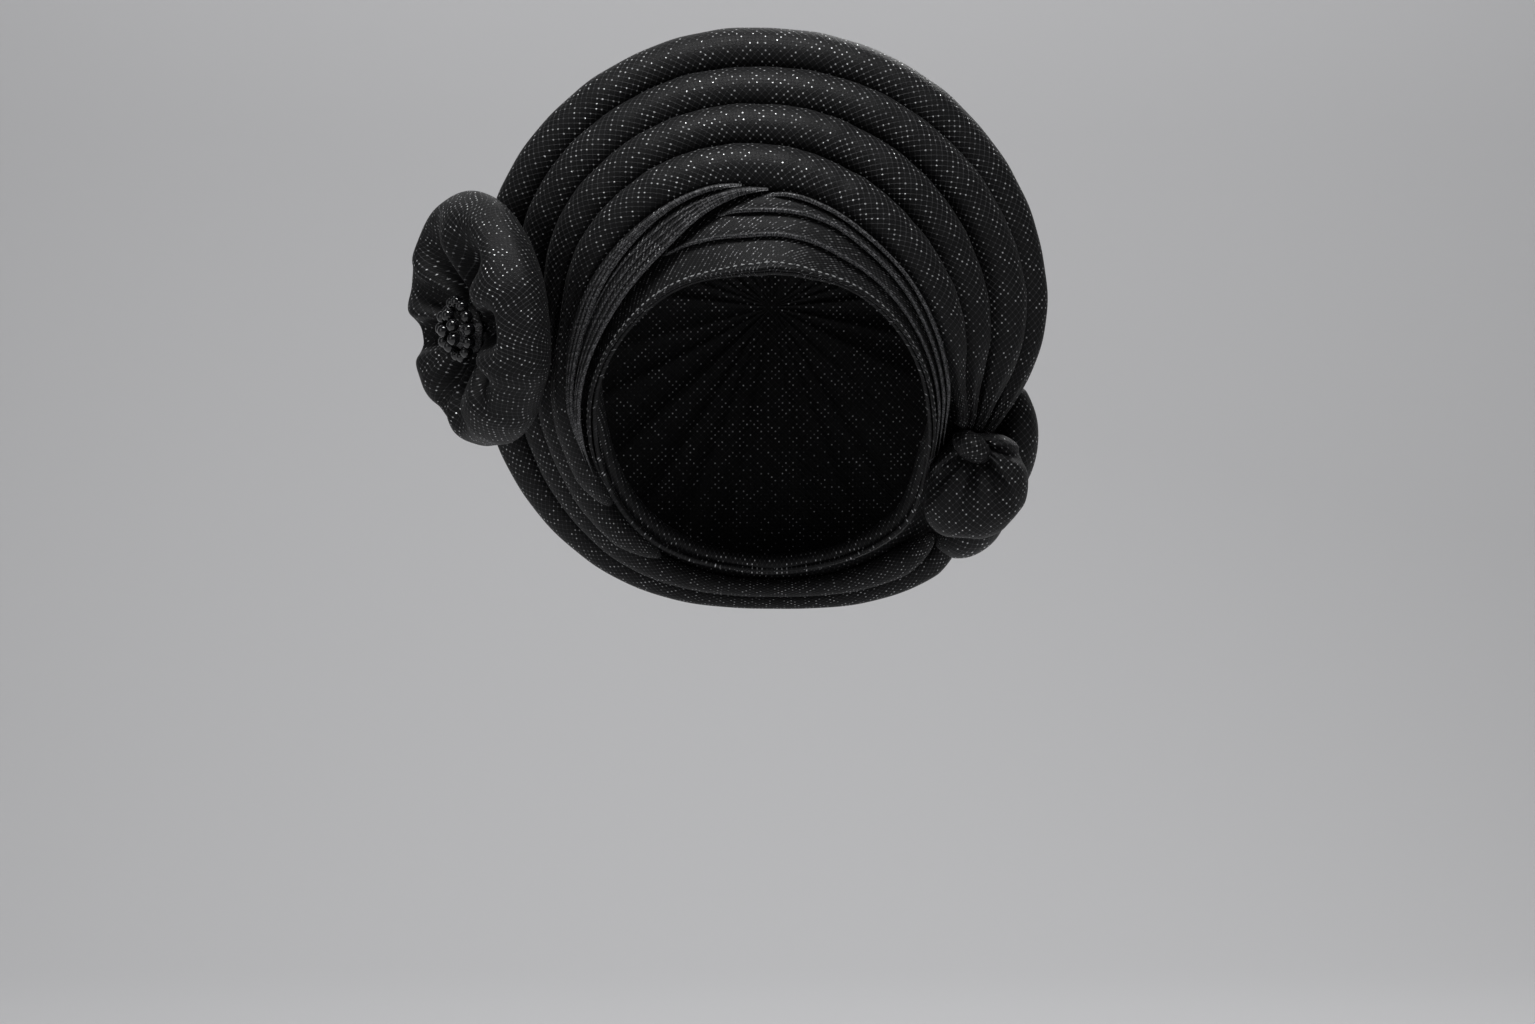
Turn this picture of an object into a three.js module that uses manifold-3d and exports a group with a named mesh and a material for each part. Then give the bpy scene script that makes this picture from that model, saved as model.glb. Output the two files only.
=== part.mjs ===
// A tied head tie in black cloth, in the form it is worn in. Four padded rolls fan over a hollow crown
// from a side knot to a gather under a beaded rosette, and pleats of flat cloth cross over the brow.
// Millimetres, +Z up, the front looks along -Y. The origin is the middle of the opening.
import * as THREE from "three";
import { mergeVertices } from "three/addons/utils/BufferGeometryUtils.js";
import Module from "manifold-3d";

const wasm = await Module();
wasm.setup();

// Driving dimensions
const CLOTH = 1.6; // one layer of wrapped cloth
const LAYER = 2.5; // from one layer to the next
const CROWN_WALL = 2; // the crown's doubled cloth
const GAP = 0.4; // clearance between neighbouring pieces
const ROLL_RADIUS = 10.5; // a padded roll at its fullest
const ROLL_SIDES = 10;
const STEP = 7.5; // degrees between sections, the same for all that lies on the crown
const CROWN_BACK = 106; // depth of the crown's rearmost point
const DOME_POWER = 1.75; // 2 is a round back, less is a flatter slope
const DOME_RINGS = 4;
const FRONT_TURN = 3.6; // where the crown meets the front roll, in radians back from straight out
const CREST_TURN = 1.35; // and where it leaves the rim roll

// The fan's axis runs front to back through this point and climbs a little on its way.
const FAN = { x: 2, depth: -40, height: 50, climb: 0.054 };

// Sections through the fan's axis, by angle: 0 is the knot's side, 90 is up, 180 is the rosette's side.
// hem and hemDepth place the lower edge, from the brow to the nape, band is where the brow pleats go under
// the front roll, tops are the outer edges of rolls 1 (rim) to 4 (front), and the last two are the depths
// of the middles of rolls 4 and 1.
const STATIONS = [
  { angle: -90, hem: 118, hemDepth: 64, band: 120, tops: [137, 131, 125.5, 122], front: 68, back: 90 },
  { angle: -60, hem: 113, hemDepth: 28, band: 118, tops: [142, 134, 128, 122], front: 40, back: 78 },
  { angle: -45, hem: 95, hemDepth: -6, band: 103, tops: [134, 123, 114, 108], front: 10, back: 50 },
  { angle: -30, hem: 76, hemDepth: -36, band: 88, tops: [116, 108, 100, 94], front: -18, back: 16 },
  { angle: 0, hem: 43.5, hemDepth: -66, band: 67, tops: [119, 109, 92, 79], front: -45, back: 7 },
  { angle: 30, hem: 23, hemDepth: -80, band: 54.5, tops: [118, 104.5, 86, 69], front: -55, back: -8 },
  { angle: 60, hem: 16, hemDepth: -85, band: 51, tops: [118, 101.5, 83.5, 65.5], front: -59, back: -17 },
  { angle: 90, hem: 14.5, hemDepth: -86, band: 53, tops: [119, 101.5, 85, 67.5], front: -60, back: -19 },
  { angle: 120, hem: 16, hemDepth: -85, band: 58.5, tops: [123, 106, 90, 73.5], front: -58, back: -16 },
  { angle: 150, hem: 25, hemDepth: -79, band: 68.5, tops: [127, 111.5, 96.5, 82], front: -50, back: -4 },
  { angle: 180, hem: 51, hemDepth: -63, band: 83.5, tops: [130, 114, 102, 92.5], front: -34, back: 20 },
  { angle: 210, hem: 87.5, hemDepth: -30, band: 100, tops: [137, 123, 114, 107], front: -6, back: 45 },
  { angle: 240, hem: 115, hemDepth: 28, band: 118, tops: [141, 133, 127, 122], front: 40, back: 78 },
];

// The padded rolls, rim first, with the angles at which they leave the knot and tuck in at the nape.
const ROLLS = [
  { name: "rim_roll", start: -31, end: 311 },
  { name: "fan_roll_2", start: -31.5, end: 306 },
  { name: "fan_roll_3", start: -32, end: 246 },
  { name: "fan_roll_4", start: -32.5, end: 231 },
];
const ROLL_CLOSE = 9; // degrees over which a roll's end rounds off
// Where the rolls are drawn together: share of the radius lost, how far along the roll it is felt, and how
// much and how near they are pulled to one place.
const GATHERS = [
  { angle: -33, squeeze: 0.6, reach: 13, pull: 0.45, near: 8, radius: 103, depth: -6 },
  { angle: 186, squeeze: 0.42, reach: 15, pull: 0, near: 8, radius: 112, depth: 0 },
];

// The brow pleats, from the hem up. lower gives each pleat's folded edge as [angle, share of the way from
// the hem to the front roll], and level the layers of cloth below it at its two ends.
const PLEATS = [
  {
    name: "brow_band",
    level: [0, 0],
    lower: [[-51, 0], [90, 0], [231, 0]],
  },
  {
    name: "wrap_pleat_1",
    level: [1, 1],
    lower: [[-45, 0.3], [0, 0.4], [30, 0.44], [90, 0.39], [120, 0.41], [158, 0.55]],
  },
  {
    name: "wrap_pleat_2",
    level: [2, 2],
    lower: [[-42, 0.5], [0, 0.66], [45, 0.73], [90, 0.66], [124, 0.69]],
  },
  {
    name: "wrap_pleat_3",
    level: [3, 3],
    lower: [[-39, 0.68], [0, 0.82], [45, 0.86], [96, 0.84]],
  },
  {
    name: "cross_pleat_1",
    level: [4, 2],
    lower: [[92, 0.9], [120, 0.74], [150, 0.54], [180, 0.34], [224, 0.15]],
  },
  {
    name: "cross_pleat_2",
    level: [5, 3],
    lower: [[104, 0.93], [135, 0.88], [165, 0.76], [220, 0.45]],
  },
];
const PLEAT_REACH = { first: 0.75, perLevel: 0.045 }; // how far a pleat goes up under the front roll
const CROWN_REACH = 0.8; // and how far the crown goes straight behind them
// Layers of cloth between the crown and the outside of the pleats, as [angle, layers].
const BAND_LAYERS = [
  [-90, 1.5], [-60, 2], [-38, 4], [70, 4.2], [106, 6], [160, 5], [215, 4], [240, 2], [270, 1.5],
];

// The side knot, an oval on the fan with half-sizes along, out and back.
const KNOT = { angle: -35, radius: 104, depth: -9, half: [6, 9.5, 11], sides: 14 };
// The tail below it: cloth gathered at the knot and puffed out. reach is how far it goes by heading, from 0
// straight out to the side through -90 for down.
const TAIL = { x: 90, y: 2, z: -7, columns: 30 };
const TAIL_REACH = [
  { heading: -180, reach: 13 },
  { heading: -150, reach: 24 },
  { heading: -120, reach: 40 },
  { heading: -90, reach: 41 },
  { heading: -60, reach: 36 },
  { heading: -30, reach: 26 },
  { heading: 0, reach: 18 },
  { heading: 45, reach: 7 },
  { heading: 135, reach: 6 },
];
const TAIL_FOLDS = [
  { angle: -15, depth: 5, width: 9 },
  { angle: -62, depth: 6, width: 10 },
  { angle: -98, depth: 5, width: 9 },
  { angle: -140, depth: 6, width: 10 },
];
// Sections from a gather over the rim to the back: share of the reach, height, share of the folds' depth.
const TAIL_SECTION = [
  { share: 0.12, height: 9, folded: 0.3 },
  { share: 0.4, height: 14, folded: 1 },
  { share: 0.72, height: 11.5, folded: 0.8 },
  { share: 0.93, height: 5, folded: 0.3 },
  { share: 1, height: -3, folded: 0 },
  { share: 0.95, height: -14, folded: 0 },
  { share: 0.7, height: -26, folded: 0 },
];
// Two short rolls of the tail that lie behind the puff, from the top down.
const TAIL_SIDES = 12;
const TAIL_DEPTH = 1.5; // depth of a tail roll over its width
const TAIL_ROLLS = [
  {
    name: "tail_roll_side",
    path: [
      { x: 107, y: 30, z: 22, radius: 4 },
      { x: 109, y: 31, z: 3, radius: 9.5 },
      { x: 106, y: 33, z: -15, radius: 10.5 },
      { x: 97, y: 37, z: -29, radius: 9 },
      { x: 90, y: 42, z: -37, radius: 5 },
    ],
  },
  {
    name: "tail_roll_low",
    path: [
      { x: 99, y: 44, z: -22, radius: 5 },
      { x: 96, y: 46, z: -38, radius: 9.5 },
      { x: 87, y: 50, z: -47, radius: 9.5 },
      { x: 75, y: 55, z: -51, radius: 5 },
    ],
  },
];

// The rosette: a padded ruffle that faces out to the side and a little forward.
const ROSETTE = { x: -123.5, y: -22, z: 42.5, turn: 64, lean: 8, radius: 54.5, lift: 3, columns: 44 };
const ROSETTE_FOLDS = [
  { angle: 107, depth: 13, width: 17 },
  { angle: 47, depth: 12, width: 14 },
  { angle: -6, depth: 12, width: 12 },
  { angle: -42, depth: 9, width: 10 },
  { angle: -124, depth: 11, width: 14 },
  { angle: -168, depth: 12, width: 10 },
  { angle: 148, depth: 9, width: 11 },
];
const ROSETTE_SECTION = [
  { share: 0.2, height: 1, folded: 0 },
  { share: 0.34, height: 5, folded: 0.7 },
  { share: 0.5, height: 11, folded: 1 },
  { share: 0.68, height: 15, folded: 0.75 },
  { share: 0.86, height: 12, folded: 0.3 },
  { share: 0.97, height: 4, folded: 0 },
  { share: 1, height: -5, folded: 0 },
  { share: 0.86, height: -14, folded: 0 },
  { share: 0.4, height: -24, folded: 0 },
];
const NOTCH = 0.35; // how much of a fold's depth is also taken from the rim
const BUTTON = { radius: 10.5, base: 1.6 };
const BEAD_RADIUS = 2.6;
const BEAD_RINGS = [
  { polar: 0, count: 1 },
  { polar: 30, count: 7 },
  { polar: 60, count: 13 },
];

const blackCloth = new THREE.MeshStandardMaterial({ color: 0x17171a, roughness: 0.82, metalness: 0 });
const foldedCloth = new THREE.MeshStandardMaterial({ color: 0x121214, roughness: 0.88, metalness: 0 });
const blackBead = new THREE.MeshStandardMaterial({ color: 0x08080a, roughness: 0.1, metalness: 0 });

const { lerp, degToRad, smoothstep, euclideanModulo } = THREE.MathUtils;

// The turn from one angle to another by the shorter way round.
function turnFrom(start, end) {
  return euclideanModulo(end - start + 180, 360) - 180;
}

// The section table at any angle, by a smooth curve through the rows on either side.
function station(angle) {
  const seen = STATIONS[0].angle + euclideanModulo(angle - STATIONS[0].angle, 360);
  const count = STATIONS.length;
  const first = STATIONS.findLastIndex((row) => row.angle <= seen);
  const rows = [-1, 0, 1, 2].map((k) => STATIONS[euclideanModulo(first + k, count)]);
  const steps = [0, 1, 2].map((k) => euclideanModulo(rows[k + 1].angle - rows[k].angle, 360));
  const t = (seen - rows[1].angle) / steps[1];
  const read = (pick) => {
    const [a, b, c, d] = rows.map(pick);
    const rise = ((c - a) / (steps[0] + steps[1])) * steps[1];
    const fall = ((d - b) / (steps[1] + steps[2])) * steps[1];
    return b + t * (rise + t * (3 * (c - b) - 2 * rise - fall + t * (2 * (b - c) + rise + fall)));
  };
  return {
    hem: new THREE.Vector2(read((row) => row.hem), read((row) => row.hemDepth)),
    band: read((row) => row.band),
    tops: ROLLS.map((_, i) => read((row) => row.tops[i])),
    front: read((row) => row.front),
    back: read((row) => row.back),
  };
}

// The rolls' middles in one section, and the one radius at which they just clear each other.
function stack(angle) {
  const row = station(angle);
  const last = ROLLS.length - 1;
  const edges = row.tops.map((top, i) => new THREE.Vector2(top, lerp(row.back, row.front, i / last)));
  const steps = edges.slice(1).map((edge, i) => edge.distanceTo(edges[i]));
  const radius = Math.min(ROLL_RADIUS, (Math.min(...steps) - GAP) / 2);
  const middles = edges.map((edge) => new THREE.Vector2(edge.x - radius, edge.y));
  return { ...row, radius, middles };
}

function fanPoint(angle, radius, depth) {
  const turn = degToRad(angle);
  const height = FAN.height + FAN.climb * (depth - FAN.depth);
  return new THREE.Vector3(FAN.x + radius * Math.cos(turn), depth, height + radius * Math.sin(turn));
}

// A closed body through loops of points, all with one count, its ends closed to a point each.
function loft(loops, startPoint, endPoint) {
  const count = loops[0].length;
  const points = [startPoint, ...loops.flat(), endPoint];
  const faces = [];
  const at = (row, k) => 1 + row * count + (k % count);
  for (let k = 0; k < count; k++) {
    faces.push(0, at(0, k + 1), at(0, k));
    for (let row = 0; row + 1 < loops.length; row++) {
      const [a, b, c, d] = [at(row, k), at(row, k + 1), at(row + 1, k + 1), at(row + 1, k)];
      const rising = points[a].distanceTo(points[c]) < points[b].distanceTo(points[d]);
      faces.push(...(rising ? [a, b, c, a, c, d] : [a, b, d, b, c, d]));
    }
    faces.push(points.length - 1, at(loops.length - 1, k), at(loops.length - 1, k + 1));
  }
  return outward(new THREE.BufferGeometry().setFromPoints(points).setIndex(faces));
}

// Turns a body's faces round if they point in.
function outward(geometry) {
  const place = geometry.getAttribute("position");
  const faces = geometry.index.array;
  const corners = [new THREE.Vector3(), new THREE.Vector3(), new THREE.Vector3()];
  let volume = 0;
  for (let i = 0; i < faces.length; i += 3) {
    corners.forEach((corner, k) => corner.fromBufferAttribute(place, faces[i + k]));
    volume += corners[0].dot(corners[1].cross(corners[2]));
  }
  if (volume < 0) geometry.index.array.reverse();
  return geometry;
}

function middle(loop) {
  return loop.reduce((sum, point) => sum.add(point), new THREE.Vector3()).divideScalar(loop.length);
}

function evenly(from, to, step) {
  const count = Math.ceil((to - from) / step);
  return Array.from({ length: count + 1 }, (_, i) => lerp(from, to, i / count));
}

// The shared section angles between two ends, and the ends themselves.
function sections(from, to) {
  const whole = evenly(Math.ceil(from / STEP) * STEP, Math.floor(to / STEP) * STEP, STEP);
  const inside = whole.filter((angle) => angle > from + STEP / 4 && angle < to - STEP / 4);
  return [from, ...inside, to];
}

// Solids for cutting and joining
function solid(geometry) {
  const bare = geometry.clone();
  bare.deleteAttribute("normal");
  bare.deleteAttribute("uv");
  const merged = mergeVertices(bare, 1e-3);
  const mesh = { numProp: 3, vertProperties: merged.attributes.position.array };
  return new wasm.Manifold(new wasm.Mesh({ ...mesh, triVerts: new Uint32Array(merged.index.array) }));
}

function geometryOf(body) {
  const { vertProperties, triVerts } = body.getMesh();
  const place = new THREE.BufferAttribute(new Float32Array(vertProperties), 3);
  return new THREE.BufferGeometry().setAttribute("position", place).setIndex([...triVerts]);
}

// What is left of a body beside its neighbours, without loose crumbs.
function trimmed(body, neighbours) {
  const left = neighbours.reduce((kept, other) => kept.subtract(other), body);
  return left.decompose().sort((a, b) => b.volume() - a.volume())[0];
}

function piece(name, geometry, material) {
  const mesh = new THREE.Mesh(geometry, material);
  mesh.name = name;
  return mesh;
}

// Brow pleats: the straight line that they are wound on, from the hem to under the front roll
function bandLine(angle) {
  const { hem, band, radius, middles } = stack(angle);
  const frontRoll = middles.at(-1);
  const across = THREE.MathUtils.clamp(band - frontRoll.x, -radius, radius);
  const tuck = new THREE.Vector2(band, frontRoll.y - Math.sqrt(radius ** 2 - across ** 2) - GAP);
  const run = tuck.clone().sub(hem).normalize();
  const out = new THREE.Vector2(run.y, -run.x);
  const foot = tuck.addScaledVector(out, -LAYER * along(BAND_LAYERS, 90 + turnFrom(90, angle)));
  return { hem, foot, out };
}

// A smooth run through [angle, value] pairs.
function along(pairs, angle) {
  const next = Math.max(1, pairs.findIndex(([at]) => at >= angle - 1e-6));
  const [from, low] = pairs[next - 1];
  const [to, high] = pairs[next];
  return lerp(low, high, smoothstep(angle, from, to) * 0.4 + ((angle - from) / (to - from)) * 0.6);
}

function pleat({ level, lower }, growth = 0) {
  const [from, to] = [lower[0][0], lower.at(-1)[0]];
  const loops = sections(from, to).map((angle) => {
    const { hem, foot, out } = bandLine(angle);
    const layer = lerp(...level, (angle - from) / (to - from));
    const top = PLEAT_REACH.first + PLEAT_REACH.perLevel * layer;
    const edge = Math.min(along(lower, angle), top - 0.04);
    const low = LAYER - CLOTH + layer * LAYER;
    const high = low + CLOTH + growth;
    const end = top + growth / foot.distanceTo(hem);
    const corners = [[edge, low], [edge, high], [end, high], [end, low]];
    return corners.map(([share, lift]) => {
      const place = hem.clone().lerp(foot, share).addScaledVector(out, lift);
      return fanPoint(angle, place.x, place.y);
    });
  });
  return loft(loops, middle(loops[0]), middle(loops.at(-1)));
}

// Three points round a roll's middle, far enough out for the lines between them to clear it.
function bend(centre, clear, from, to) {
  const reach = clear / Math.cos((to - from) / 4);
  return [0, 0.5, 1].map((share) => {
    const turn = lerp(from, to, share);
    return new THREE.Vector2(centre.x + reach * Math.cos(turn), centre.y + reach * Math.sin(turn));
  });
}

// Crown: one hollow wall from the hem, under the rolls, to the rounded back
function crownSection(angle) {
  const { radius, middles } = stack(angle);
  const { hem, foot } = bandLine(angle);
  const frontRoll = middles.at(-1);
  const rimRoll = middles[0];
  const climb = rimRoll.clone().sub(frontRoll);
  const inward = Math.atan2(climb.x, -climb.y);
  const sags = middles.map((mid) => mid.clone().sub(frontRoll).cross(climb) / -climb.length());
  const seat = radius + GAP + Math.max(...sags);
  const section = [hem, hem.clone().lerp(foot, 0.4), hem.clone().lerp(foot, CROWN_REACH)];
  section.push(...bend(frontRoll, seat, FRONT_TURN, inward), ...bend(rimRoll, seat, inward, CREST_TURN));
  const crest = section.pop();
  for (let ring = 0; ring < DOME_RINGS; ring++) {
    const turn = (ring / DOME_RINGS) * (Math.PI / 2);
    const power = 2 / DOME_POWER;
    const reach = Math.sin(turn) ** power;
    section.push(new THREE.Vector2(crest.x * Math.cos(turn) ** power, lerp(crest.y, CROWN_BACK, reach)));
  }
  return section;
}

// The section moved into the hollow, or out from it for a negative distance.
function moved(section, distance) {
  return section.map((point, i) => {
    const before = section[Math.max(0, i - 1)];
    const after = section[i + 1] ?? new THREE.Vector2(0, CROWN_BACK);
    const run = after.clone().sub(before).normalize();
    return point.clone().add(new THREE.Vector2(-run.y, run.x).multiplyScalar(distance));
  });
}

function crownLoops(distance) {
  const turns = evenly(0, 360, STEP).slice(0, -1);
  const walls = turns.map((angle) => moved(crownSection(angle), distance));
  return walls[0].map((_, i) => turns.map((angle, k) => fanPoint(angle, walls[k][i].x, walls[k][i].y)));
}

function crown() {
  const loops = [...crownLoops(0).reverse(), ...crownLoops(CROWN_WALL)];
  return loft(loops, fanPoint(0, 0, CROWN_BACK), fanPoint(0, 0, CROWN_BACK - CROWN_WALL));
}

// The crown with its hollow filled and a clearance round it, to cut its neighbours with.
function crownBlock() {
  const loops = crownLoops(-2 * GAP);
  return solid(loft(loops, middle(loops[0]), fanPoint(0, 0, CROWN_BACK + GAP)));
}

// Padded rolls
function roll(index, growth = 0) {
  const { start, end } = ROLLS[index];
  const loops = sections(start, end).map((angle) => {
    const { radius, middles } = stack(angle);
    const centre = middles[index].clone();
    let size = radius * Math.sqrt(Math.min(1, 0.12 + (end - angle) / ROLL_CLOSE));
    for (const gather of GATHERS) {
      const away = turnFrom(gather.angle, angle);
      size *= 1 - gather.squeeze * Math.exp(-((away / gather.reach) ** 2));
      const pull = gather.pull * Math.exp(-((away / gather.near) ** 2));
      centre.lerp(new THREE.Vector2(gather.radius, gather.depth), pull);
    }
    size += growth;
    return evenly(0, 360, 360 / ROLL_SIDES).slice(1).map((turn) => {
      const [side, rise] = [Math.cos(degToRad(turn)), Math.sin(degToRad(turn))];
      return fanPoint(angle, centre.x + size * side, centre.y + size * rise);
    });
  });
  return loft(loops, middle(loops[0]), middle(loops.at(-1)));
}

// The knot
function knot(growth = 0) {
  const { angle, radius, depth, half, sides } = KNOT;
  const ball = new THREE.SphereGeometry(1, sides, Math.round(sides * 0.6));
  ball.scale(half[1] + growth, half[2] + growth, half[0] + growth);
  ball.rotateY(-degToRad(angle));
  const place = fanPoint(angle, radius, depth);
  return ball.translate(place.x, place.y, place.z);
}

// A gathered puff about its own Z axis, with a reach for each angle and folds that run out from the gather
function ruffle(columns, section, folds, reachAt, growth = 0) {
  const loops = section.map(({ share, height, folded }) =>
    evenly(-180, 180, 360 / columns).slice(1).map((angle) => {
      const valley = folds.reduce((sum, fold) => {
        return sum + fold.depth * Math.exp(-((turnFrom(fold.angle, angle) / fold.width) ** 2));
      }, 0);
      const reach = share * (reachAt(angle) + growth) - NOTCH * valley * smoothstep(share, 0.5, 1);
      const [side, rise] = [Math.cos(degToRad(angle)), Math.sin(degToRad(angle))];
      const lift = height - folded * valley + growth * Math.sign(height);
      return new THREE.Vector3(reach * side, reach * rise, lift);
    }),
  );
  return loft(loops, middle(loops[0]), middle(loops.at(-1)));
}

// Faces a puff built about Z to the front, turns it to its side and sets it in place.
function faced(geometry, { x, y, z, turn = 0, lean = 0 }) {
  geometry.rotateX(Math.PI / 2).rotateZ(-degToRad(turn)).rotateY(-degToRad(lean));
  return geometry.translate(x, y, z);
}

function tailReach(angle) {
  const rows = [...TAIL_REACH, { heading: 180, reach: TAIL_REACH[0].reach }];
  const next = Math.max(1, rows.findIndex((row) => row.heading >= angle - 1e-6));
  const [from, to] = [rows[next - 1], rows[next]];
  return lerp(from.reach, to.reach, smoothstep(angle, from.heading, to.heading));
}

function tailPuff(growth = 0) {
  return faced(ruffle(TAIL.columns, TAIL_SECTION, TAIL_FOLDS, tailReach, growth), TAIL);
}

// A short roll along a path of its own, deeper than it is wide
function tailRoll(path, growth = 0) {
  const curve = new THREE.CatmullRomCurve3(path.map(({ x, y, z }) => new THREE.Vector3(x, y, z)));
  const steps = 3 * (path.length - 1);
  const loops = evenly(0, steps, 1).map((i) => {
    const place = (i / steps) * (path.length - 1);
    const first = Math.min(Math.floor(place), path.length - 2);
    const size = lerp(path[first].radius, path[first + 1].radius, smoothstep(place, first, first + 1));
    const out = curve.getTangent(i / steps).cross(new THREE.Vector3(0, 1, 0)).normalize();
    return evenly(0, 360, 360 / TAIL_SIDES).slice(1).map((turn) => {
      const point = out.clone().multiplyScalar((size + growth) * Math.cos(degToRad(turn)));
      point.y += (TAIL_DEPTH * size + growth) * Math.sin(degToRad(turn));
      return point.add(curve.getPoint(i / steps));
    });
  });
  return loft(loops, middle(loops[0]), middle(loops.at(-1)));
}

function rosette() {
  const reach = (angle) => ROSETTE.radius + ROSETTE.lift * Math.sin(degToRad(angle));
  return faced(ruffle(ROSETTE.columns, ROSETTE_SECTION, ROSETTE_FOLDS, reach), ROSETTE);
}

function button() {
  const quarter = evenly(0, 90, 18).map((turn) => degToRad(turn));
  const dome = quarter.map((turn) =>
    new THREE.Vector2(BUTTON.radius * Math.cos(turn), BUTTON.base + BUTTON.radius * Math.sin(turn)),
  );
  dome[dome.length - 1].x = 0;
  const profile = [new THREE.Vector2(0, BUTTON.base), ...dome];
  return faced(new THREE.LatheGeometry(profile, 14).rotateX(Math.PI / 2), ROSETTE);
}

function beads() {
  const reach = BUTTON.radius + BEAD_RADIUS + GAP;
  const made = [];
  for (const { polar, count } of BEAD_RINGS) {
    for (let k = 0; k < count; k++) {
      const turn = ((k + 0.5 * (count % 3)) / count) * 2 * Math.PI;
      const bead = new THREE.IcosahedronGeometry(BEAD_RADIUS, 1);
      const place = new THREE.Vector3().setFromSphericalCoords(reach, degToRad(polar), turn);
      bead.rotateX(Math.PI / 2).translate(place.x, place.z, place.y + BUTTON.base);
      made.push(piece(`rosette_bead_${made.length + 1}`, faced(bead, ROSETTE), blackBead));
    }
  }
  return made;
}

const headTie = new THREE.Group();
headTie.add(piece("crown", crown(), blackCloth));
for (const spec of PLEATS) headTie.add(piece(spec.name, pleat(spec), foldedCloth));
ROLLS.forEach(({ name }, i) => headTie.add(piece(name, roll(i), blackCloth)));

const rollBlocks = ROLLS.map((_, i) => solid(roll(i, GAP)));
const blocks = [crownBlock(), solid(crown()), ...rollBlocks];
for (const spec of PLEATS) blocks.push(solid(pleat(spec)), solid(pleat(spec, GAP)));
function addTrimmed(name, geometry, grown) {
  headTie.add(piece(name, geometryOf(trimmed(solid(geometry), blocks)), blackCloth));
  blocks.push(solid(grown));
}
addTrimmed("side_knot", knot(), knot(GAP));
addTrimmed("tail_puff", tailPuff(), tailPuff(GAP));
for (const { name, path } of TAIL_ROLLS) addTrimmed(name, tailRoll(path), tailRoll(path, GAP));
headTie.add(piece("rosette", geometryOf(trimmed(solid(rosette()), rollBlocks)), blackCloth));
headTie.add(piece("bead_button", button(), foldedCloth), ...beads());

export default headTie;
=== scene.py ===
"""The looks of a tied head tie in black open-weave cloth.

It has padded rolls, flat pleats, a knot, a puffed tail and a beaded rosette. Sizes are in millimetres, as in
the part's own source, and become metres when a mesh is made. The studio is in metres.
"""

import math

import bpy
import numpy as np
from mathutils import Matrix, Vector


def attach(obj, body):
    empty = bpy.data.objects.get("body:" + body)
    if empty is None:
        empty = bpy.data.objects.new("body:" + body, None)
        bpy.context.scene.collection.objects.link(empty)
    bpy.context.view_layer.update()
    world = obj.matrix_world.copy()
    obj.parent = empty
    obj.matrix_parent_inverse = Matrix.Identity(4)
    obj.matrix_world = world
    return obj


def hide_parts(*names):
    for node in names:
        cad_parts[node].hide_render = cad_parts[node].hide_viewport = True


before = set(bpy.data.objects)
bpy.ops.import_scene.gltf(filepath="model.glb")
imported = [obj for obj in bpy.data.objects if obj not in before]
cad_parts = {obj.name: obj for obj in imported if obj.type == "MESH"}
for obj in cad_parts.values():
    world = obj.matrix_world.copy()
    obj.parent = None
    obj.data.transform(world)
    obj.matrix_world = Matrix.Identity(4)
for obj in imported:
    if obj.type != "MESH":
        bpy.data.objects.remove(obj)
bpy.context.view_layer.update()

MM = 0.001

# Cloth and rolls, as in the part
CLOTH = 1.6  # thickness of a pleat
LAYER = 2.5  # from one pleat to the next above it
CROWN_WALL = 2.0
GAP = 0.4  # between rolls
ROLL_RADIUS = 10.5
CROWN_BACK = 106.0  # depth of its furthest point
DOME_POWER = 1.75  # how full the back is: 2 is an ellipse
FRONT_TURN, CREST_TURN = 3.6, 1.35  # radians where its wall meets the front roll and leaves the rim roll
# The fan's axis: across, and its height at a depth, with the climb for each millimetre to the back
FAN_X, FAN_DEPTH, FAN_HEIGHT, FAN_CLIMB = 2.0, -40.0, 50.0, 0.054

# Sections through the fan's axis: 0 is the knot's side, 90 is up, 180 is the rosette's side.
STATION_COLUMNS = ("angle", "hem", "hem_depth", "band", "top_1", "top_2", "top_3", "top_4", "front", "back")
STATIONS = np.array(
    [
        (-90, 118, 64, 120, 137, 131, 125.5, 122, 68, 90),
        (-60, 113, 28, 118, 142, 134, 128, 122, 40, 78),
        (-45, 95, -6, 103, 134, 123, 114, 108, 10, 50),
        (-30, 76, -36, 88, 116, 108, 100, 94, -18, 16),
        (0, 43.5, -66, 67, 119, 109, 92, 79, -45, 7),
        (30, 23, -80, 54.5, 118, 104.5, 86, 69, -55, -8),
        (60, 16, -85, 51, 118, 101.5, 83.5, 65.5, -59, -17),
        (90, 14.5, -86, 53, 119, 101.5, 85, 67.5, -60, -19),
        (120, 16, -85, 58.5, 123, 106, 90, 73.5, -58, -16),
        (150, 25, -79, 68.5, 127, 111.5, 96.5, 82, -50, -4),
        (180, 51, -63, 83.5, 130, 114, 102, 92.5, -34, 20),
        (210, 87.5, -30, 100, 137, 123, 114, 107, -6, 45),
        (240, 115, 28, 118, 141, 133, 127, 122, 40, 78),
    ],
    float,
)

# The padded rolls, rim first: name, and the angles where they leave the knot and tuck in low at the back.
ROLLS = [
    ("rim_roll", -31, 311),
    ("fan_roll_2", -31.5, 306),
    ("fan_roll_3", -32, 246),
    ("fan_roll_4", -32.5, 231),
]
ROLL_CLOSE, ROLL_TIP = 9.0, 0.0025  # degrees in which a roll closes, and what is left at its tip
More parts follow.
